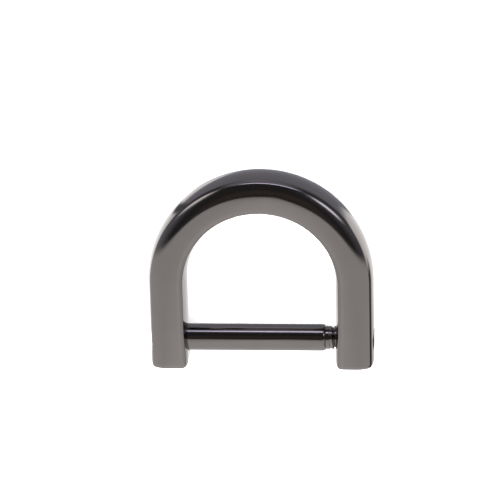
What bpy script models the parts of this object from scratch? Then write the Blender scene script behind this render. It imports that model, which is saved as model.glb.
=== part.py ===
"""A screw-closed d ring for a strap or a bag: a horseshoe frame and the pin that closes it.

Metres, +Z up. The ring lies on its back face: +X runs along the pin, +Y towards the crown,
and the origin is under the middle of the whole part, on the surface that it lies on.
"""

import math

import bmesh
import bpy
from mathutils import Vector

MM = 0.001

# Ring frame. Widths are across the legs, heights run from the feet to the crown.
RING_WIDTH = 22.0 * MM
RING_HEIGHT = 20.0 * MM
RING_DEPTH = 4.7 * MM
INNER_WIDTH = 15.12 * MM
SIDE_BULGE_OUT = 0.30 * MM
SIDE_BULGE_IN = 0.31 * MM

# Front and back faces of the limb, across from the inner edge: a soft edge, a flat, a round shoulder.
FLAT_START = 0.60 * MM
FLAT_END = 1.76 * MM
INNER_EDGE_DROP = 0.10 * MM
SHOULDER_TURN = math.radians(40.0)

# Rounded feet: the section shrinks to the foot's end along a squared-off ellipse, leaning outwards.
FOOT_ROUNDING = 0.90 * MM
FOOT_SQUARENESS = 4.0
FOOT_TIP_SCALE = 0.3
FOOT_LEAN = 0.22 * MM

# Screw pin, through both legs. Its x values are measured from the middle of the ring.
PIN_ABOVE_FEET = 2.75 * MM
SHANK_DIAMETER = 2.66 * MM
SHANK_END_X = 6.25 * MM
SHANK_ROUNDING = 0.40 * MM
COLLAR_LENGTH = 0.10 * MM
THREAD_DIAMETER = 2.30 * MM
THREAD_ROOT_DIAMETER = 1.90 * MM
THREAD_PITCH = 0.40 * MM
THREAD_RUN_IN = 0.75 * MM
TIP_CHAMFER = 0.12 * MM
HEAD_DIAMETER = 3.10 * MM
HEAD_LENGTH = 0.90 * MM
HEAD_EDGE = 0.12 * MM
HEAD_BELOW_SIDE = 0.24 * MM
SLOT_WIDTH = 0.55 * MM
SLOT_DEPTH = 0.45 * MM

# Radial clearance of each stretch of the pin in its bore, and the gap under the head.
SHANK_CLEARANCE = 0.06 * MM
THREAD_CLEARANCE = 0.08 * MM
HEAD_CLEARANCE = 0.08 * MM
HEAD_SEAT_GAP = 0.10 * MM
CUTTER_REACH = 1.0 * MM

# Facets.
CROWN_STEPS = 36
SHOULDER_STEPS = 6
SIDE_STEPS = 3
SOFT_EDGE_STEPS = 3
FOOT_STEPS = 7
ROUNDING_STEPS = 3
ROUND_SIDES = 24
THREAD_STEPS_PER_TURN = 4
WELD_DISTANCE = 0.0005 * MM
SHARP_ANGLE = math.radians(28.0)

# Worked out from the sizes above.
INNER_HALF = INNER_WIDTH / 2
OUTER_HALF = RING_WIDTH / 2
LIMB_WIDTH = OUTER_HALF - SIDE_BULGE_OUT - INNER_HALF
PATH_RADIUS = INNER_HALF + LIMB_WIDTH / 2
SHOULDER_RADIUS = (LIMB_WIDTH - FLAT_END) / math.sin(SHOULDER_TURN)
SHOULDER_DROP = SHOULDER_RADIUS * (1 - math.cos(SHOULDER_TURN))
FEET_Y = -RING_HEIGHT / 2
CROWN_CENTRE_Y = RING_HEIGHT / 2 - OUTER_HALF
MID_DEPTH = RING_DEPTH / 2
PIN_CENTRE = Vector((0.0, FEET_Y + PIN_ABOVE_FEET, MID_DEPTH))
HEAD_TOP_X = -OUTER_HALF + HEAD_BELOW_SIDE
HEAD_SEAT_X = HEAD_TOP_X + HEAD_LENGTH
THREAD_START_X = SHANK_END_X + COLLAR_LENGTH
TIP_X = OUTER_HALF


def clear_scene():
    for old in list(bpy.data.objects):
        bpy.data.objects.remove(old)


def new_collection(name):
    collection = bpy.data.collections.new(name)
    bpy.context.scene.collection.children.link(collection)
    return collection


def plated_metal(name, colour, roughness):
    """Polished plating, with all of its colour in the reflection."""
    material = bpy.data.materials.new(name)
    material.use_nodes = True
    shader = material.node_tree.nodes["Principled BSDF"]
    shader.inputs["Base Color"].default_value = (*colour, 1.0)
    shader.inputs["Metallic"].default_value = 1.0
    shader.inputs["Roughness"].default_value = roughness
    material.diffuse_color = (*colour, 1.0)
    return material


def mesh_from(guide, name, collection):
    """The guide's evaluated shape as a welded mesh object facing out. The guide is removed."""
    bpy.context.view_layer.update()
    graph = bpy.context.evaluated_depsgraph_get()
    mesh = bpy.data.meshes.new_from_object(guide.evaluated_get(graph))
    mesh.name = name
    cage = bmesh.new()
    cage.from_mesh(mesh)
    bmesh.ops.remove_doubles(cage, verts=cage.verts, dist=WELD_DISTANCE)
    bmesh.ops.recalc_face_normals(cage, faces=cage.faces)
    cage.to_mesh(mesh)
    cage.free()
    made = bpy.data.objects.new(name, mesh)
    made.matrix_world = guide.matrix_world
    collection.objects.link(made)
    bpy.data.objects.remove(guide)
    return made


def finish(obj, material):
    """Gives the piece its one material and smooth round faces with crisp creases."""
    obj.data.materials.clear()
    obj.data.materials.append(material)
    obj.data.shade_smooth()
    obj.data.set_sharp_from_angle(angle=SHARP_ANGLE)


def as_cutter(obj, name, collection):
    """Names the active primitive and moves it to the cutters, out of every render."""
    obj.name = name
    for old in list(obj.users_collection):
        old.objects.unlink(obj)
    collection.objects.link(obj)
    obj.hide_render = True
    obj.display_type = "WIRE"
    return obj


def cut(target, cutter):
    modifier = target.modifiers.new(cutter.name, "BOOLEAN")
    modifier.operation = "DIFFERENCE"
    modifier.solver = "EXACT"
    modifier.object = cutter


def bore_cutter(name, diameter, start_x, end_x, collection):
    """A round cutter on the pin's axis, from one x to another."""
    bpy.ops.mesh.primitive_cylinder_add(
        vertices=ROUND_SIDES,
        radius=diameter / 2,
        depth=end_x - start_x,
        location=PIN_CENTRE + Vector(((start_x + end_x) / 2, 0.0, 0.0)),
        rotation=(0.0, math.pi / 2, 0.0),
    )
    return as_cutter(bpy.context.object, name, collection)


def poly_curve(name, points, radii=None, closed=False):
    """A flat curve through the points, with the scale that a section on it takes at each one."""
    data = bpy.data.curves.new(name, "CURVE")
    data.dimensions = "2D"
    data.fill_mode = "NONE"
    spline = data.splines.new("POLY")
    spline.points.add(len(points) - 1)
    for index, (x, y) in enumerate(points):
        spline.points[index].co = (x, y, 0.0, 1.0)
        spline.points[index].radius = radii[index] if radii else 1.0
    spline.use_cyclic_u = closed
    return bpy.data.objects.new(name, data)


def front_half_outline():
    """The limb's section from the inner side over the front face to the outer side.

    Each point is (across, height): across outwards from the inner crease, height above mid depth.
    """
    top = RING_DEPTH / 2
    inner_crease = top - INNER_EDGE_DROP
    outer_crease = top - SHOULDER_DROP
    points = []
    for step in range(SIDE_STEPS):
        share = step / SIDE_STEPS
        points.append((-SIDE_BULGE_IN * (1 - share**2), inner_crease * share))
    for step in range(SOFT_EDGE_STEPS + 1):
        share = step / SOFT_EDGE_STEPS
        points.append((FLAT_START * share, top - INNER_EDGE_DROP * (1 - share) ** 2))
    for step in range(SHOULDER_STEPS + 1):
        turn = SHOULDER_TURN * step / SHOULDER_STEPS
        across = FLAT_END + SHOULDER_RADIUS * math.sin(turn)
        points.append((across, top - SHOULDER_RADIUS * (1 - math.cos(turn))))
    for step in range(SIDE_STEPS - 1, -1, -1):
        share = step / SIDE_STEPS
        points.append((LIMB_WIDTH + SIDE_BULGE_OUT * (1 - share**2), outer_crease * share))
    return points


def limb_section():
    """The whole section as a closed curve: the front half and its mirror image at the back."""
    front = front_half_outline()
    back = [(across, -height) for across, height in reversed(front[1:-1])]
    middle = LIMB_WIDTH / 2
    return poly_curve(
        "limb_section",
        [(middle - across, height) for across, height in front + back],
        closed=True,
    )


def foot_stations():
    """(height above the foot's end, scale of the section there), from the end up the leg."""
    power = 2 / FOOT_SQUARENESS
    last = math.acos(FOOT_TIP_SCALE ** (1 / power))
    lowest = FOOT_ROUNDING * (1 - math.sin(last) ** power)
    stations = []
    for step in range(FOOT_STEPS, -1, -1):
        angle = last * step / FOOT_STEPS
        height = FOOT_ROUNDING * (1 - math.sin(angle) ** power) - lowest
        stations.append((height, math.cos(angle) ** power))
    return stations


def limb_path():
    """The limb's middle line, up the left leg, round the crown and down the right leg."""
    left = [((-PATH_RADIUS, FEET_Y + height), scale) for height, scale in foot_stations()]
    crown = []
    for step in range(CROWN_STEPS + 1):
        angle = math.pi * (1 - step / CROWN_STEPS)
        x = PATH_RADIUS * math.cos(angle)
        y = CROWN_CENTRE_Y + PATH_RADIUS * math.sin(angle)
        crown.append(((x, y), 1.0))
    right = [((-x, y), scale) for (x, y), scale in reversed(left)]
    points, scales = zip(*left, *crown, *right)
    return poly_curve("limb_path", points, radii=scales)


def lean_feet(ring):
    """Shifts the rounded ends of the legs outwards, which leaves their outer corners squarer."""
    for vertex in ring.data.vertices:
        low = max(0.0, 1 - (vertex.co.y - FEET_Y) / FOOT_ROUNDING)
        vertex.co.x += math.copysign(FOOT_LEAN, vertex.co.x) * low**FOOT_SQUARENESS


def build_ring_frame(parts, cutters, material):
    """The section swept along the horseshoe, with the pin's bores cut through the legs."""
    section = limb_section()
    path = limb_path()
    parts.objects.link(section)
    parts.objects.link(path)
    path.data.bevel_mode = "OBJECT"
    path.data.bevel_object = section
    path.data.use_fill_caps = True
    path.location = (0.0, 0.0, MID_DEPTH)
    ring = mesh_from(path, "ring_frame", parts)
    bpy.data.objects.remove(section)
    lean_feet(ring)

    left_outside = -OUTER_HALF - CUTTER_REACH
    right_outside = OUTER_HALF + CUTTER_REACH
    inside_left = -INNER_HALF + CUTTER_REACH
    head_bore = HEAD_DIAMETER + 2 * HEAD_CLEARANCE
    head_floor = HEAD_SEAT_X + HEAD_SEAT_GAP
    shank_bore = SHANK_DIAMETER + 2 * SHANK_CLEARANCE
    thread_bore = THREAD_DIAMETER + 2 * THREAD_CLEARANCE
    cut(ring, bore_cutter("head_counterbore", head_bore, left_outside, head_floor, cutters))
    cut(ring, bore_cutter("shank_bore", shank_bore, left_outside, inside_left, cutters))
    cut(ring, bore_cutter("thread_bore", thread_bore, -inside_left, right_outside, cutters))
    finish(ring, material)
    return ring


def pin_profile():
    """The turned blank as (x, radius) points, from the middle of the head to the middle of the tip."""
    head = HEAD_DIAMETER / 2
    shank = SHANK_DIAMETER / 2
    thread = THREAD_DIAMETER / 2
    profile = [
        (HEAD_TOP_X, 0.0),
        (HEAD_TOP_X, head - HEAD_EDGE),
        (HEAD_TOP_X + HEAD_EDGE, head),
        (HEAD_SEAT_X, head),
        (HEAD_SEAT_X, shank),
    ]
    for index in range(ROUNDING_STEPS + 1):
        angle = math.pi / 2 * index / ROUNDING_STEPS
        x = SHANK_END_X - SHANK_ROUNDING * (1 - math.sin(angle))
        profile.append((x, thread + (shank - thread) * math.cos(angle)))
    step = THREAD_PITCH / THREAD_STEPS_PER_TURN
    count = int((TIP_X - TIP_CHAMFER - THREAD_START_X) / step)
    profile += [(THREAD_START_X + step * index, thread) for index in range(count + 1)]
    profile += [(TIP_X, thread - TIP_CHAMFER), (TIP_X, 0.0)]
    return profile


def roll_thread(pin):
    """Presses a right-hand groove into the blank's threaded length, shallow at first."""
    depth = (THREAD_DIAMETER - THREAD_ROOT_DIAMETER) / 2
    for vertex in pin.data.vertices:
        x, y, z = vertex.co
        radius = math.hypot(y, z)
        along = x - THREAD_START_X
        if along <= 0.0 or radius < THREAD_DIAMETER / 2 - WELD_DISTANCE:
            continue
        phase = (along / THREAD_PITCH - math.atan2(z, y) / math.tau) % 1.0
        below_crest = 1.0 - abs(2.0 * phase - 1.0)
        groove = depth * below_crest * min(1.0, along / THREAD_RUN_IN) ** 2
        vertex.co.y *= (radius - groove) / radius
        vertex.co.z *= (radius - groove) / radius


def build_screw_pin(parts, cutters, material):
    """The profile turned about the pin's axis, threaded, and slotted across the head."""
    profile = bpy.data.meshes.new("pin_profile")
    outline = [(x, radius, 0.0) for x, radius in pin_profile()]
    profile.from_pydata(outline, [(i, i + 1) for i in range(len(outline) - 1)], [])
    blank = bpy.data.objects.new("pin_blank", profile)
    parts.objects.link(blank)
    blank.location = PIN_CENTRE
    turned = blank.modifiers.new("turned", "SCREW")
    turned.axis = "X"
    turned.steps = ROUND_SIDES
    turned.render_steps = ROUND_SIDES
    turned.use_merge_vertices = True
    turned.merge_threshold = WELD_DISTANCE
    pin = mesh_from(blank, "screw_pin", parts)
    roll_thread(pin)

    slot_bottom = HEAD_TOP_X + SLOT_DEPTH
    slot_length = SLOT_DEPTH + CUTTER_REACH
    bpy.ops.mesh.primitive_cube_add(
        size=1.0,
        location=PIN_CENTRE + Vector((slot_bottom - slot_length / 2, 0.0, 0.0)),
        scale=(slot_length, HEAD_DIAMETER + CUTTER_REACH, SLOT_WIDTH),
    )
    cut(pin, as_cutter(bpy.context.object, "driver_slot", cutters))
    finish(pin, material)
    return pin


def main():
    clear_scene()
    parts = new_collection("d_ring")
    cutters = new_collection("cutters")
    ring_plating = plated_metal("ring_plating", (0.24, 0.23, 0.225), 0.10)
    pin_plating = plated_metal("pin_plating", (0.26, 0.25, 0.245), 0.14)
    build_ring_frame(parts, cutters, ring_plating)
    build_screw_pin(parts, cutters, pin_plating)


main()
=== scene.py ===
import math

import bmesh
import bpy
from mathutils import Matrix, Vector


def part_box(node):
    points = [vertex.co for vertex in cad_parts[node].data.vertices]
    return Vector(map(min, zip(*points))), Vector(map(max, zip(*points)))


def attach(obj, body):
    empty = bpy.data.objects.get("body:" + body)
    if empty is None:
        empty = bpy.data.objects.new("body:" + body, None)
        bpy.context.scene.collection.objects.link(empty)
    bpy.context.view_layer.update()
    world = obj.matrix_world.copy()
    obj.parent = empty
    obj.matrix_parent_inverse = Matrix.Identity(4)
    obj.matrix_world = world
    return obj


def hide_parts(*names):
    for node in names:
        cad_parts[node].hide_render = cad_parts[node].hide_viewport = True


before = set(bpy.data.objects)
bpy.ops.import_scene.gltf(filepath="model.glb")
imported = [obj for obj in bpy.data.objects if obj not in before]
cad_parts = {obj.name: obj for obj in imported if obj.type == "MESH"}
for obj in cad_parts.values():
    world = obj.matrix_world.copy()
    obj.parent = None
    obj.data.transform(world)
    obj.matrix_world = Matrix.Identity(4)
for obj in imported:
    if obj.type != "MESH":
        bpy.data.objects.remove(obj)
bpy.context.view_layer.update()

RING_LOW, RING_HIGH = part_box("ring_frame")
PIN_LOW, PIN_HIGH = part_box("screw_pin")
MM = 0.001

# The ring, as in the part's source but with finer creases. FLAT_START and FLAT_END are measured outwards
# from the inner crease.
RING_HEIGHT = 20.0 * MM
INNER_WIDTH = 15.12 * MM
SIDE_BULGE_OUT = 0.30 * MM
SIDE_BULGE_IN = 0.31 * MM
FLAT_START = 0.60 * MM
FLAT_END = 1.76 * MM
INNER_EDGE_DROP = 0.10 * MM
FACE_DOME = 0.008 * MM
SHOULDER_TURN = math.radians(40.0)
INNER_CREASE_RADIUS = 0.14 * MM
OUTER_CREASE_RADIUS = 0.55 * MM
FOOT_ROUNDING = 0.90 * MM
FOOT_SQUARENESS = 4.0
FOOT_TIP_SCALE = 0.3
FOOT_LEAN = 0.22 * MM

# How far the faces widen inwards near the feet, and the heights where that starts and is complete.
FLARE = 0.12 * MM
FLARE_TOP = 4.3 * MM
FLARE_FULL = 1.4 * MM
FLARE_POWER = 3

# The pin, with x measured from the middle of the ring.
SHANK_DIAMETER = 2.66 * MM
SHANK_END_X = 6.25 * MM
SHANK_ROUNDING = 0.40 * MM
COLLAR_LENGTH = 0.10 * MM
THREAD_DIAMETER = 2.30 * MM
THREAD_ROOT_DIAMETER = 1.90 * MM
THREAD_PITCH = 0.40 * MM
THREAD_RUN_IN = 0.75 * MM
CREST_SHARE = 0.22
ROOT_POWER = 1.5
TIP_CHAMFER = 0.06 * MM
HEAD_DIAMETER = 3.10 * MM
HEAD_LENGTH = 0.90 * MM
HEAD_EDGE = 0.12 * MM
SLOT_WIDTH = 0.55 * MM
SLOT_DEPTH = 0.45 * MM

# The bores and the slot. A cutter flares from a small chamfer at the mouth until it is clear of the metal.
SHANK_CLEARANCE = 0.06 * MM
THREAD_CLEARANCE = 0.08 * MM
HEAD_CLEARANCE = 0.08 * MM
HEAD_SEAT_GAP = 0.10 * MM
MOUTH_CHAMFER = 0.06 * MM
CUTTER_REACH = 1.0 * MM
CUTTER_FLARE = MOUTH_CHAMFER + CUTTER_REACH

# The photo's view of the ring, in degrees, with the ring's middle at its pixel in the 500 pixel frame.
VIEW_UP = 22.2
VIEW_SIDE = 4.3
VIEW_ROLL = 1.33
VIEW_DISTANCE = 320.0 * MM
CLIP_START = 10.0 * MM
PHOTO_SIDE = 500
RING_PIXEL = (260.94, 268.62)
PIXELS_PER_METRE = 10270.0
SENSOR_WIDTH = 36.0

# The plating's tones, linear: two that cloud into each other and one for the rubbed edges.
RING_DARK = (0.246, 0.226, 0.219)
RING_LIGHT = (0.256, 0.234, 0.226)
RING_WORN = (0.30, 0.28, 0.275)
PIN_DARK = (0.220, 0.204, 0.197)
PIN_LIGHT = (0.232, 0.214, 0.207)
PIN_WORN = (0.30, 0.28, 0.27)

# The plating's grain: how much finer the polishing lines are along each axis, the noises' scales in
# features per metre, the stretch of each noise that is used, and the roughness and relief that it gives.
RING_LINES = (1.0, 1.0, 6.0)
PIN_LINES = (8.0, 1.0, 1.0)
CLOUD_SCALE = 350.0
GRAIN_SCALE = 2600.0
POLISH_SCALE = 5200.0
CLOUD_DETAIL = 3.0
FINE_DETAIL = 2.0
CLOUD_RANGE = (0.35, 0.65)
GRAIN_RANGE = (0.42, 0.60)
POLISH_RANGE = (0.3, 0.7)
PLATING_ROUGHNESS = (0.07, 0.13)
CLOUD_RELIEF = 1.5
POLISH_DEPTH = 0.0006 * MM

# The rubbed edges: the turns between faces where the rubbing starts and is complete, the least share of
# it that the patches leave, and the roughness that it adds.
WEAR_LAYER = "edge_wear"
WEAR_FROM = math.radians(6.0)
WEAR_FULL = math.radians(14.0)
WEAR_LEAST = 0.15
WEAR_ROUGHNESS = 0.10

# The pale floor and the even light on it.
FLOOR_SIDE = 2.0
FLOOR_CLOUD_SCALE = 12.0
FLOOR_COLOURS = ((0.90, 0.90, 0.90), (0.93, 0.93, 0.925))
FLOOR_ROUGHNESS = (0.75, 0.9)
WORLD_STRENGTH = 4.0

# The light tent's soft patches, laid one over the other in this order. The columns are azimuth from +X
# towards +Y, elevation, half width and half height in degrees, then squareness, softness, tilt,
# brightness and tint.
TENT_RADIUS = 58.0 * MM
TENT_SUBDIVISIONS = 4
TENT_DARK = (0.045, 0.045, 0.045)
WHITE = (1.0, 1.0, 1.0)
COOL = (0.97, 0.98, 1.12)
VIOLET = (1.0, 0.97, 1.28)
BROWN = (1.20, 0.97, 0.90)
TENT_LIGHTS = {
    "grey_floor": (90, -90, 1000, 60, 2.0, 0.10, 0.0, 0.38, COOL),
    "back_grey": (91, 0, 26, 32, 3.0, 0.30, 0.0, 0.38, COOL),
    "left_glow": (162, 10, 34, 26, 2.0, 0.60, 0.0, 0.26, COOL),
    "right_glow": (28, 18, 36, 26, 2.0, 0.60, 0.0, 0.20, COOL),
    "top_glow": (90, 74, 130, 10, 2.0, 0.60, 0.0, 0.070, BROWN),
    "front_window": (-92, 0, 86, 80.5, 3.7, 0.05, 0.0, 0.76, WHITE),
    "front_bright": (-98, 45, 18, 38, 2.0, 0.70, 0.0, 0.95, WHITE),
    "front_low": (-96, -25, 74, 62, 2.0, 0.60, 0.0, 1.0, WHITE),
    "left_window": (139, 26, 15, 9, 2.0, 0.40, -0.10, 2.0, WHITE),
    "back_gap": (95, -7, 9, 10, 2.0, 0.40, 0.0, 0.20, WHITE),
    "back_streak": (95, -24, 8, 5, 2.0, 0.40, 0.0, 0.6, VIOLET),
    "back_window": (85, 22, 21, 5.5, 3.0, 0.20, 0.0, 2.4, VIOLET),
    "right_window": (40, 35, 14, 4.8, 2.0, 0.40, 0.0, 2.3, COOL),
    "right_dark": (-24, -15, 20, 24, 4.0, 0.15, 0.0, 0.08, WHITE),
    "left_dark": (-41, -10, 8, 24, 3.0, 0.30, 0.0, 0.08, WHITE),
    "side_window": (5, -24, 15, 27, 3.0, 0.30, -0.40, 1.35, WHITE),
    "right_floor": (-20, -57, 43, 15, 3.0, 0.20, 0.35, 1.45, WHITE),
    "left_floor_near": (158, -62, 20, 14, 2.0, 0.40, 0.30, 1.3, WHITE),
    "left_floor": (-166, -54, 31, 17, 2.5, 0.30, 0.0, 1.6, WHITE),
    "left_spot": (168, -40, 8, 4, 2.0, 0.40, 0.0, 1.35, WHITE),
    "left_shade": (161, -45, 13, 6, 2.0, 0.40, -1.05, 0.15, WHITE),
    "front_floor": (-90, -55, 50, 20, 2.0, 0.50, 0.0, 1.1, WHITE),
}

# Steps of the fine meshes. An arc at a corner replaces the points within TRIM_SHARE times its reach, and
# the flat ends of the pin have rings at PIN_CAP_SHARES of their radius.
CROWN_STEPS = 180
LEG_STEPS = 24
FOOT_STEPS = 18
SIDE_STEPS = 12
SOFT_EDGE_STEPS = 8
FLAT_STEPS = 8
SHOULDER_STEPS = 20
CREASE_STEPS = 8
TRIM_SHARE = 1.05
PIN_SIDES = 96
PIN_CAP_SHARES = (0.02, 0.3, 0.6)
SHANK_STEPS = 40
ROUNDING_STEPS = 10
THREAD_STEPS_PER_TURN = 14
SHARP_ANGLE = math.radians(32.0)
WELD_DISTANCE = 0.0005 * MM

# Where a Mix node has its colour sockets.
MIX_FIRST = 6
MIX_SECOND = 7
MIX_RESULT = 2

# Places worked out from the frame's own boxes and the sizes above.
RING_CENTRE_X = (RING_LOW.x + RING_HIGH.x) / 2
RING_DEPTH = RING_HIGH.z - RING_LOW.z
MID_DEPTH = (RING_LOW.z + RING_HIGH.z) / 2
RING_MIDDLE = Vector((RING_CENTRE_X, 0.0, MID_DEPTH))
OUTER_HALF = (RING_HIGH.x - RING_LOW.x) / 2
INNER_HALF = INNER_WIDTH / 2
LIMB_WIDTH = OUTER_HALF - SIDE_BULGE_OUT - INNER_HALF
PATH_RADIUS = INNER_HALF + LIMB_WIDTH / 2
FEET_Y = RING_LOW.y
CROWN_CENTRE_Y = FEET_Y + RING_HEIGHT - OUTER_HALF
FLAT_TILT = math.atan(4 * FACE_DOME / (FLAT_END - FLAT_START))
SHOULDER_RADIUS = (LIMB_WIDTH - FLAT_END) / (math.sin(SHOULDER_TURN) - math.sin(FLAT_TILT))
SHOULDER_DROP = FACE_DOME + SHOULDER_RADIUS * (math.cos(FLAT_TILT) - math.cos(SHOULDER_TURN))
PIN_CENTRE = Vector((RING_CENTRE_X, (PIN_LOW.y + PIN_HIGH.y) / 2, MID_DEPTH))
HEAD_TOP_X = PIN_LOW.x - RING_CENTRE_X
HEAD_SEAT_X = HEAD_TOP_X + HEAD_LENGTH
THREAD_START_X = SHANK_END_X + COLLAR_LENGTH
TIP_X = PIN_HIGH.x - RING_CENTRE_X


def mesh_object(name, points, faces):
    """An object in the scene, its points welded and its faces turned outwards."""
    mesh = bpy.data.meshes.new(name)
    mesh.from_pydata(points, [], faces)
    cage = bmesh.new()
    cage.from_mesh(mesh)
    bmesh.ops.remove_doubles(cage, verts=cage.verts, dist=WELD_DISTANCE)
    bmesh.ops.recalc_face_normals(cage, faces=cage.faces)
    cage.to_mesh(mesh)
    cage.free()
    made = bpy.data.objects.new(name, mesh)
    bpy.context.scene.collection.objects.link(made)
    return made


def loft(name, rings):
    """A closed body through rings of equal count, with a flat cap on each end."""
    count = len(rings[0])
    points = [point for ring in rings for point in ring]
    faces = []
    for row in range(len(rings) - 1):
        for column in range(count):
            after = (column + 1) % count
            low, high = row * count, (row + 1) * count
            faces.append((low + column, low + after, high + after, high + column))
    faces.append(tuple(range(count)))
    faces.append(tuple(range(len(points) - count, len(points))))
    return mesh_object(name, points, faces)


def cut(target, cutter):
    """Cuts the cutter out of the target and removes it."""
    modifier = target.modifiers.new(cutter.name, "BOOLEAN")
    modifier.operation = "DIFFERENCE"
    modifier.solver = "EXACT"
    modifier.object = cutter
    bpy.context.view_layer.update()
    graph = bpy.context.evaluated_depsgraph_get()
    mesh = bpy.data.meshes.new_from_object(target.evaluated_get(graph))
    target.modifiers.clear()
    target.data = mesh
    bpy.data.objects.remove(cutter)


def smooth(body):
    body.data.shade_smooth()
    body.data.set_sharp_from_angle(angle=SHARP_ANGLE)


def trimmed(points, corner, distance):
    """The points further than distance from the corner."""
    return [point for point in points if (point - corner).length > distance]


def rounded_corner(before, corner, after, radius):
    """Two stretches that meet at a corner, joined by a tangent arc instead."""
    into = (corner - before[-1]).normalized()
    out = (after[0] - corner).normalized()
    turn = math.acos(max(-1.0, min(1.0, into.dot(out))))
    reach = radius * math.tan(turn / 2)
    start = corner - into * reach
    side = Vector((-into.y, into.x))
    if side.dot(out) < 0:
        side = -side
    arc = []
    for step in range(CREASE_STEPS + 1):
        angle = turn * step / CREASE_STEPS
        arc.append(start + into * radius * math.sin(angle) + side * radius * (1 - math.cos(angle)))
    trim = reach * TRIM_SHARE
    return trimmed(before, corner, trim) + arc + trimmed(after, corner, trim)


def bulging_side(across, crease_height, bulge):
    """A side of the section, from its bulge at mid depth to just below its crease."""
    points = []
    for step in range(SIDE_STEPS):
        share = step / SIDE_STEPS
        points.append(Vector((across + bulge * (1 - share**2), crease_height * share)))
    return points


def front_face(top):
    """The soft inner edge, the domed flat band and the shoulder, between the two creases."""
    face = []
    for step in range(1, SOFT_EDGE_STEPS):
        share = step / SOFT_EDGE_STEPS
        drop = FACE_DOME + (INNER_EDGE_DROP - FACE_DOME) * (1 - share) ** 2
        face.append(Vector((FLAT_START * share, top - drop)))
    for step in range(FLAT_STEPS + 1):
        share = step / FLAT_STEPS
        across = FLAT_START + (FLAT_END - FLAT_START) * share
        face.append(Vector((across, top - FACE_DOME * (2 * share - 1) ** 2)))
    for step in range(1, SHOULDER_STEPS):
        turn = FLAT_TILT + (SHOULDER_TURN - FLAT_TILT) * step / SHOULDER_STEPS
        across = FLAT_END + SHOULDER_RADIUS * (math.sin(turn) - math.sin(FLAT_TILT))
        drop = FACE_DOME + SHOULDER_RADIUS * (math.cos(FLAT_TILT) - math.cos(turn))
        face.append(Vector((across, top - drop)))
    return face


def front_half_outline():
    """The section from the middle of the inner side over the front face to the outer side's middle."""
    top = RING_DEPTH / 2
    inner_crease = Vector((0.0, top - INNER_EDGE_DROP))
    outer_crease = Vector((LIMB_WIDTH, top - SHOULDER_DROP))
    inner_side = bulging_side(0.0, inner_crease.y, -SIDE_BULGE_IN)
    outer_side = bulging_side(LIMB_WIDTH, outer_crease.y, SIDE_BULGE_OUT)
    joined = rounded_corner(inner_side, inner_crease, front_face(top), INNER_CREASE_RADIUS)
    return rounded_corner(joined, outer_crease, outer_side[::-1], OUTER_CREASE_RADIUS)


def limb_outline():
    """The whole section, as (outwards from the limb's middle line, height above mid depth)."""
    front = front_half_outline()
    back = [Vector((point.x, -point.y)) for point in reversed(front[1:-1])]
    return [(point.x - LIMB_WIDTH / 2, point.y) for point in front + back]


def foot_stations():
    """(height above the foot's end, scale of the section there), from the end up the leg."""
    power = 2 / FOOT_SQUARENESS
    last = math.acos(FOOT_TIP_SCALE ** (1 / power))
    lowest = FOOT_ROUNDING * (1 - math.sin(last) ** power)
    stations = []
    for step in range(FOOT_STEPS, -1, -1):
        angle = last * step / FOOT_STEPS
        height = FOOT_ROUNDING * (1 - math.sin(angle) ** power) - lowest
        stations.append((height, math.cos(angle) ** power))
    return stations


def limb_stations():
    """(place on the middle line, outward direction, scale) from the left foot to the right foot."""
    left = []
    feet = foot_stations()
    for height, scale in feet:
        left.append(((-PATH_RADIUS, FEET_Y + height), (-1.0, 0.0), scale))
    leg_start = FEET_Y + feet[-1][0]
    for step in range(1, LEG_STEPS):
        y = leg_start + (CROWN_CENTRE_Y - leg_start) * step / LEG_STEPS
        left.append(((-PATH_RADIUS, y), (-1.0, 0.0), 1.0))
    crown = []
    for step in range(CROWN_STEPS + 1):
        angle = math.pi * (1 - step / CROWN_STEPS)
        out = (math.cos(angle), math.sin(angle))
        place = (PATH_RADIUS * out[0], CROWN_CENTRE_Y + PATH_RADIUS * out[1])
        crown.append((place, out, 1.0))
    right = [((-x, y), (1.0, 0.0), scale) for (x, y), _, scale in reversed(left)]
    return left + crown + right


def flared(across, above_feet):
    """The faces widened inwards near the feet, up to the line where the inner side bulges most."""
    share = min(1.0, max(0.0, (FLARE_TOP - above_feet) / (FLARE_TOP - FLARE_FULL)))
    inward = max(0.0, -across / (LIMB_WIDTH / 2))
    shift = FLARE * share**2 * (3 - 2 * share) * inward**FLARE_POWER
    return max(across - shift, -LIMB_WIDTH / 2 - SIDE_BULGE_IN)


def limb_mesh():
    """The bow before it is bored: the section carried from foot to foot, leaning out at the feet."""
    outline = limb_outline()
    rings = []
    for (x, y), (out_x, out_y), scale in limb_stations():
        lean = FOOT_LEAN * max(0.0, 1 - (y - FEET_Y) / FOOT_ROUNDING) ** FOOT_SQUARENESS
        ring = []
        for across, height in outline:
            reach = flared(across, y - FEET_Y) * scale + lean
            place = (RING_CENTRE_X + x + out_x * reach, y + out_y * reach, MID_DEPTH + height * scale)
            ring.append(place)
        rings.append(ring)
    return loft("ring_body", rings)


def ring_about_pin(x, radii):
    """Points round the pin's axis, one for each radius."""
    ring = []
    for side, radius in enumerate(radii):
        angle = math.tau * side / len(radii)
        offset = Vector((x, radius * math.cos(angle), radius * math.sin(angle)))
        ring.append(PIN_CENTRE + offset)
    return ring


def turned_rings(profile):
    """The rings of a turned solid, from (x, radius) points."""
    return [ring_about_pin(x, [radius] * PIN_SIDES) for x, radius in profile]


def bore(name, diameter, floor_x, mouth_x):
    """A cutter on the pin's axis that flares in a small chamfer at the mouth and runs out past it."""
    radius = diameter / 2
    outward = math.copysign(1.0, mouth_x - floor_x)
    profile = [
        (floor_x, radius),
        (mouth_x - outward * MOUTH_CHAMFER, radius),
        (mouth_x + outward * CUTTER_REACH, radius + CUTTER_FLARE),
    ]
    return loft(name, turned_rings(profile))


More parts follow.
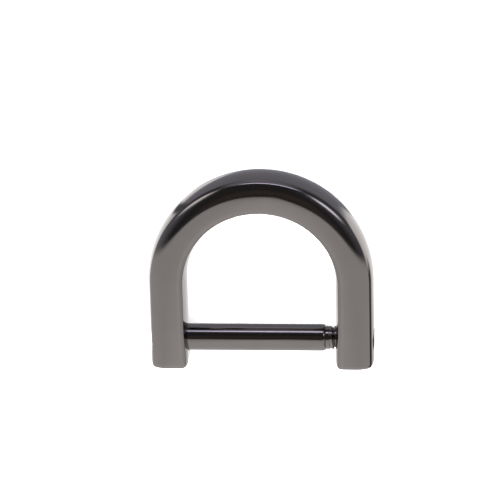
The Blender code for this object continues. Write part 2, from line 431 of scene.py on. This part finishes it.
def build_ring():
    """The bow, with the counterbore and both legs' bores cut through it."""
    body = limb_mesh()
    head_floor = HEAD_SEAT_X + HEAD_SEAT_GAP
    inner_mouth = INNER_HALF - SIDE_BULGE_IN
    shank_bore = SHANK_DIAMETER + 2 * SHANK_CLEARANCE
    thread_bore = THREAD_DIAMETER + 2 * THREAD_CLEARANCE
    head_bore = HEAD_DIAMETER + 2 * HEAD_CLEARANCE
    cut(body, bore("head_counterbore", head_bore, head_floor, -OUTER_HALF))
    cut(body, bore("shank_bore", shank_bore, head_floor - CUTTER_REACH / 2, -inner_mouth))
    cut(body, bore("thread_bore_inner", thread_bore, OUTER_HALF - CUTTER_REACH, inner_mouth))
    cut(body, bore("thread_bore_outer", thread_bore, inner_mouth + CUTTER_REACH, OUTER_HALF))
    smooth(body)
    return body


def head_and_shank():
    """The turned part of the pin, as (x, radius) points from the head's top to the collar."""
    head = HEAD_DIAMETER / 2
    shank = SHANK_DIAMETER / 2
    collar = THREAD_DIAMETER / 2
    profile = [(HEAD_TOP_X, head * share) for share in PIN_CAP_SHARES]
    for step in range(CREASE_STEPS + 1):
        angle = math.pi / 2 * step / CREASE_STEPS
        x = HEAD_TOP_X + HEAD_EDGE * (1 - math.cos(angle))
        profile.append((x, head - HEAD_EDGE * (1 - math.sin(angle))))
    profile += [
        (HEAD_SEAT_X, head),
        (HEAD_SEAT_X, shank),
    ]
    for step in range(1, SHANK_STEPS + 1):
        share = step / SHANK_STEPS
        x = HEAD_SEAT_X + (SHANK_END_X - SHANK_ROUNDING - HEAD_SEAT_X) * share
        profile.append((x, shank))
    for step in range(1, ROUNDING_STEPS + 1):
        angle = math.pi / 2 * step / ROUNDING_STEPS
        x = SHANK_END_X - SHANK_ROUNDING * (1 - math.sin(angle))
        profile.append((x, collar + (shank - collar) * math.cos(angle)))
    return profile


def thread_radius(x, angle):
    """The right-hand thread's surface: flat crests, a rounded root, shallow where it starts."""
    phase = ((x - THREAD_START_X) / THREAD_PITCH - angle / math.tau) % 1.0
    from_crest = 1.0 - abs(2.0 * phase - 1.0)
    share = min(1.0, max(0.0, (from_crest - CREST_SHARE) / (1.0 - CREST_SHARE)))
    groove = math.sin(share * math.pi / 2) ** ROOT_POWER
    run_in = min(1.0, (x - THREAD_START_X) / THREAD_RUN_IN) ** 2
    depth = (THREAD_DIAMETER - THREAD_ROOT_DIAMETER) / 2
    return THREAD_DIAMETER / 2 - depth * groove * run_in


def thread_rings():
    """The rings of the thread, chamfered at the tip, and of the tip's flat end."""
    crest = THREAD_DIAMETER / 2
    chamfer_start = TIP_X - TIP_CHAMFER
    angles = [math.tau * side / PIN_SIDES for side in range(PIN_SIDES)]
    rings = []
    count = round((TIP_X - THREAD_START_X) / THREAD_PITCH * THREAD_STEPS_PER_TURN)
    for step in range(count + 1):
        x = THREAD_START_X + (TIP_X - THREAD_START_X) * step / count
        most = crest - max(0.0, x - chamfer_start)
        rings.append(ring_about_pin(x, [min(most, thread_radius(x, angle)) for angle in angles]))
    end = crest - TIP_CHAMFER
    tip = [(TIP_X, end * share) for share in reversed(PIN_CAP_SHARES)]
    return rings + turned_rings(tip)


def slot_cutter():
    """The driver slot, right across the head, with a small chamfer along its lips."""
    half = SLOT_WIDTH / 2
    slot_floor = HEAD_TOP_X + SLOT_DEPTH
    outline = [
        (slot_floor, -half),
        (slot_floor, half),
        (HEAD_TOP_X + MOUTH_CHAMFER, half),
        (HEAD_TOP_X - CUTTER_REACH, half + CUTTER_FLARE),
        (HEAD_TOP_X - CUTTER_REACH, -half - CUTTER_FLARE),
        (HEAD_TOP_X + MOUTH_CHAMFER, -half),
    ]
    rings = []
    for y in (-HEAD_DIAMETER, HEAD_DIAMETER):
        rings.append([PIN_CENTRE + Vector((x, y, z)) for x, z in outline])
    return loft("driver_slot", rings)


def build_pin():
    body = loft("pin_body", turned_rings(head_and_shank()) + thread_rings())
    cut(body, slot_cutter())
    smooth(body)
    return body


def mark_edge_wear(body):
    """Stores how sharply the surface turns outwards at each vertex, for the rubbed edges."""
    cage = bmesh.new()
    cage.from_mesh(body.data)
    layer = cage.verts.layers.float.new(WEAR_LAYER)
    for vert in cage.verts:
        turn = max(edge.calc_face_angle_signed(0.0) for edge in vert.link_edges)
        vert[layer] = min(1.0, max(0.0, (turn - WEAR_FROM) / (WEAR_FULL - WEAR_FROM)))
    cage.to_mesh(body.data)
    cage.free()


def new_material(name):
    material = bpy.data.materials.new(name)
    material.use_nodes = True
    return material, material.node_tree


def object_place(tree):
    return tree.nodes.new("ShaderNodeTexCoord").outputs["Object"]


def noise(tree, coordinates, scale, detail):
    """A noise with features 1 / scale metres across."""
    node = tree.nodes.new("ShaderNodeTexNoise")
    node.inputs["Scale"].default_value = scale
    node.inputs["Detail"].default_value = detail
    tree.links.new(coordinates, node.inputs["Vector"])
    return node.outputs["Fac"]


def remap(tree, value, low, high, to_low, to_high, smoothed=False):
    """A Map Range node, whose sockets 1 to 4 are the two ends before and the two ends after."""
    node = tree.nodes.new("ShaderNodeMapRange")
    if smoothed:
        node.interpolation_type = "SMOOTHSTEP"
    for socket, number in zip(node.inputs[1:5], (low, high, to_low, to_high)):
        socket.default_value = number
    tree.links.new(value, node.inputs["Value"])
    return node.outputs["Result"]


def calculate(tree, operation, *values):
    """A Math node over sockets and numbers."""
    node = tree.nodes.new("ShaderNodeMath")
    node.operation = operation
    for socket, value in zip(node.inputs, values):
        if isinstance(value, (int, float)):
            socket.default_value = value
        else:
            tree.links.new(value, socket)
    return node.outputs["Value"]


def mix_colours(tree, share, first, second):
    """A Mix node over two colours, each a socket or three numbers."""
    node = tree.nodes.new("ShaderNodeMix")
    node.data_type = "RGBA"
    tree.links.new(share, node.inputs["Factor"])
    for index, value in ((MIX_FIRST, first), (MIX_SECOND, second)):
        if isinstance(value, tuple):
            node.inputs[index].default_value = (*value, 1.0)
        else:
            tree.links.new(value, node.inputs[index])
    return node.outputs[MIX_RESULT]


def plating(name, dark, light, worn, stretch):
    """Polished gunmetal: cloudy tone, fine polishing lines along one way, edges rubbed lighter."""
    material, tree = new_material(name)
    shader = tree.nodes["Principled BSDF"]
    shader.inputs["Metallic"].default_value = 1.0
    place = object_place(tree)
    lines = tree.nodes.new("ShaderNodeMapping")
    lines.inputs["Scale"].default_value = stretch
    tree.links.new(place, lines.inputs["Vector"])

    clouds = noise(tree, place, CLOUD_SCALE, CLOUD_DETAIL)
    grain = noise(tree, place, GRAIN_SCALE, FINE_DETAIL)
    polish = noise(tree, lines.outputs["Vector"], POLISH_SCALE, FINE_DETAIL)

    tone = mix_colours(tree, remap(tree, clouds, *CLOUD_RANGE, 0.0, 1.0), dark, light)
    attribute = tree.nodes.new("ShaderNodeAttribute")
    attribute.attribute_name = WEAR_LAYER
    patchy = remap(tree, grain, *GRAIN_RANGE, WEAR_LEAST, 1.0)
    wear = calculate(tree, "MULTIPLY", attribute.outputs["Fac"], patchy)
    tree.links.new(mix_colours(tree, wear, tone, worn), shader.inputs["Base Color"])

    gloss = remap(tree, polish, *POLISH_RANGE, *PLATING_ROUGHNESS)
    rubbed = calculate(tree, "MULTIPLY", wear, WEAR_ROUGHNESS)
    tree.links.new(calculate(tree, "ADD", gloss, rubbed), shader.inputs["Roughness"])

    height = calculate(tree, "ADD", calculate(tree, "MULTIPLY", clouds, CLOUD_RELIEF), polish)
    bump = tree.nodes.new("ShaderNodeBump")
    bump.inputs["Strength"].default_value = 1.0
    bump.inputs["Distance"].default_value = POLISH_DEPTH
    tree.links.new(height, bump.inputs["Height"])
    tree.links.new(bump.outputs["Normal"], shader.inputs["Normal"])
    return material


def build_floor():
    """A plain pale floor, which the metal doesn't reflect."""
    half = FLOOR_SIDE / 2
    corners = [(-half, -half, 0), (half, -half, 0), (half, half, 0), (-half, half, 0)]
    floor = mesh_object("floor", corners, [(0, 1, 2, 3)])
    material, tree = new_material("pale_floor")
    shader = tree.nodes["Principled BSDF"]
    soft = noise(tree, object_place(tree), FLOOR_CLOUD_SCALE, FINE_DETAIL)
    tree.links.new(mix_colours(tree, soft, *FLOOR_COLOURS), shader.inputs["Base Color"])
    tree.links.new(remap(tree, soft, 0.0, 1.0, *FLOOR_ROUGHNESS), shader.inputs["Roughness"])
    shader.inputs["Specular IOR Level"].default_value = 0.0
    floor.data.materials.append(material)
    floor.visible_glossy = False


def build_world():
    """Even light for the floor and a white background. The metal sees the tent instead."""
    world = bpy.data.worlds.new("studio")
    world.use_nodes = True
    background = world.node_tree.nodes["Background"]
    background.inputs["Color"].default_value = (*WHITE, 1.0)
    background.inputs["Strength"].default_value = WORLD_STRENGTH
    bpy.context.scene.world = world


def paint_light(tree, azimuth, elevation, colour, patch):
    """Lays one soft-edged patch of light over the tent's colour so far."""
    across_at, up_at, half_wide, half_high, squareness, softness, tilt, brightness, tint = patch
    across = calculate(tree, "SUBTRACT", azimuth, math.radians(across_at))
    across = calculate(tree, "WRAP", across, math.pi, -math.pi)
    up = calculate(tree, "SUBTRACT", elevation, math.radians(up_at))
    up = calculate(tree, "SUBTRACT", up, calculate(tree, "MULTIPLY", across, tilt))
    parts = []
    for offset, half in ((across, half_wide), (up, half_high)):
        share = calculate(tree, "DIVIDE", calculate(tree, "ABSOLUTE", offset), math.radians(half))
        parts.append(calculate(tree, "POWER", share, squareness))
    reach = calculate(tree, "POWER", calculate(tree, "ADD", *parts), 1 / squareness)
    mask = remap(tree, reach, 1 - softness, 1 + softness, 1.0, 0.0, smoothed=True)
    light = tuple(brightness * part for part in tint)
    return mix_colours(tree, mask, colour, light)


def tent_material():
    """Light that depends only on the direction from the tent's middle."""
    material, tree = new_material("tent_light")
    tree.nodes.remove(tree.nodes["Principled BSDF"])
    direction = tree.nodes.new("ShaderNodeVectorMath")
    direction.operation = "NORMALIZE"
    tree.links.new(object_place(tree), direction.inputs[0])
    split = tree.nodes.new("ShaderNodeSeparateXYZ")
    tree.links.new(direction.outputs["Vector"], split.inputs["Vector"])
    azimuth = calculate(tree, "ARCTAN2", split.outputs["Y"], split.outputs["X"])
    elevation = calculate(tree, "ARCSINE", split.outputs["Z"])
    colour = TENT_DARK
    for patch in TENT_LIGHTS.values():
        colour = paint_light(tree, azimuth, elevation, colour, patch)
    emission = tree.nodes.new("ShaderNodeEmission")
    tree.links.new(colour, emission.inputs["Color"])
    output = tree.nodes["Material Output"]
    tree.links.new(emission.outputs["Emission"], output.inputs["Surface"])
    material.cycles.emission_sampling = "NONE"
    return material


def build_tent():
    """A light tent round the ring, with soft windows. Only reflections see it."""
    mesh = bpy.data.meshes.new("light_tent")
    cage = bmesh.new()
    bmesh.ops.create_icosphere(cage, subdivisions=TENT_SUBDIVISIONS, radius=TENT_RADIUS)
    cage.to_mesh(mesh)
    cage.free()
    mesh.materials.append(tent_material())
    tent = bpy.data.objects.new("light_tent", mesh)
    tent.location = RING_MIDDLE
    bpy.context.scene.collection.objects.link(tent)
    tent.visible_camera = False
    tent.visible_diffuse = False
    tent.visible_shadow = False
    tent.visible_transmission = False


def aim_camera():
    """The photo's view: from above the crown's side of the front face, slightly from the right."""
    up_angle = math.radians(VIEW_UP)
    side_angle = math.radians(VIEW_SIDE)
    roll = math.radians(VIEW_ROLL)
    back = Vector((
        math.sin(side_angle) * math.cos(up_angle),
        math.sin(up_angle),
        math.cos(side_angle) * math.cos(up_angle),
    ))
    level = Vector((math.cos(side_angle), 0.0, -math.sin(side_angle)))
    upright = back.cross(level)
    right = level * math.cos(roll) - upright * math.sin(roll)
    up = level * math.sin(roll) + upright * math.cos(roll)
    off_x = (PHOTO_SIDE / 2 - RING_PIXEL[0]) / PIXELS_PER_METRE
    off_y = (RING_PIXEL[1] - PHOTO_SIDE / 2) / PIXELS_PER_METRE
    place = RING_MIDDLE + back * VIEW_DISTANCE
    aim = RING_MIDDLE + right * off_x + up * off_y
    away = (place - aim).normalized()
    right = (right - away * right.dot(away)).normalized()
    up = away.cross(right)
    data = bpy.data.cameras.new("camera")
    data.sensor_width = SENSOR_WIDTH
    data.lens = SENSOR_WIDTH * PIXELS_PER_METRE * (place - aim).length / PHOTO_SIDE
    data.clip_start = CLIP_START
    camera = bpy.data.objects.new("camera", data)
    bpy.context.scene.collection.objects.link(camera)
    turn = Matrix((right, up, away)).transposed()
    camera.matrix_world = Matrix.Translation(place) @ turn.to_4x4()
    bpy.context.scene.camera = camera


ring = build_ring()
pin = build_pin()
mark_edge_wear(ring)
mark_edge_wear(pin)
ring.data.materials.append(plating("ring_plating_look", RING_DARK, RING_LIGHT, RING_WORN, RING_LINES))
pin.data.materials.append(plating("pin_plating_look", PIN_DARK, PIN_LIGHT, PIN_WORN, PIN_LINES))
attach(ring, "ring")
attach(pin, "pin")
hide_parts("ring_frame")
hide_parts("screw_pin")
build_floor()
build_world()
build_tent()
aim_camera()
bpy.context.scene.view_settings.view_transform = "Standard"
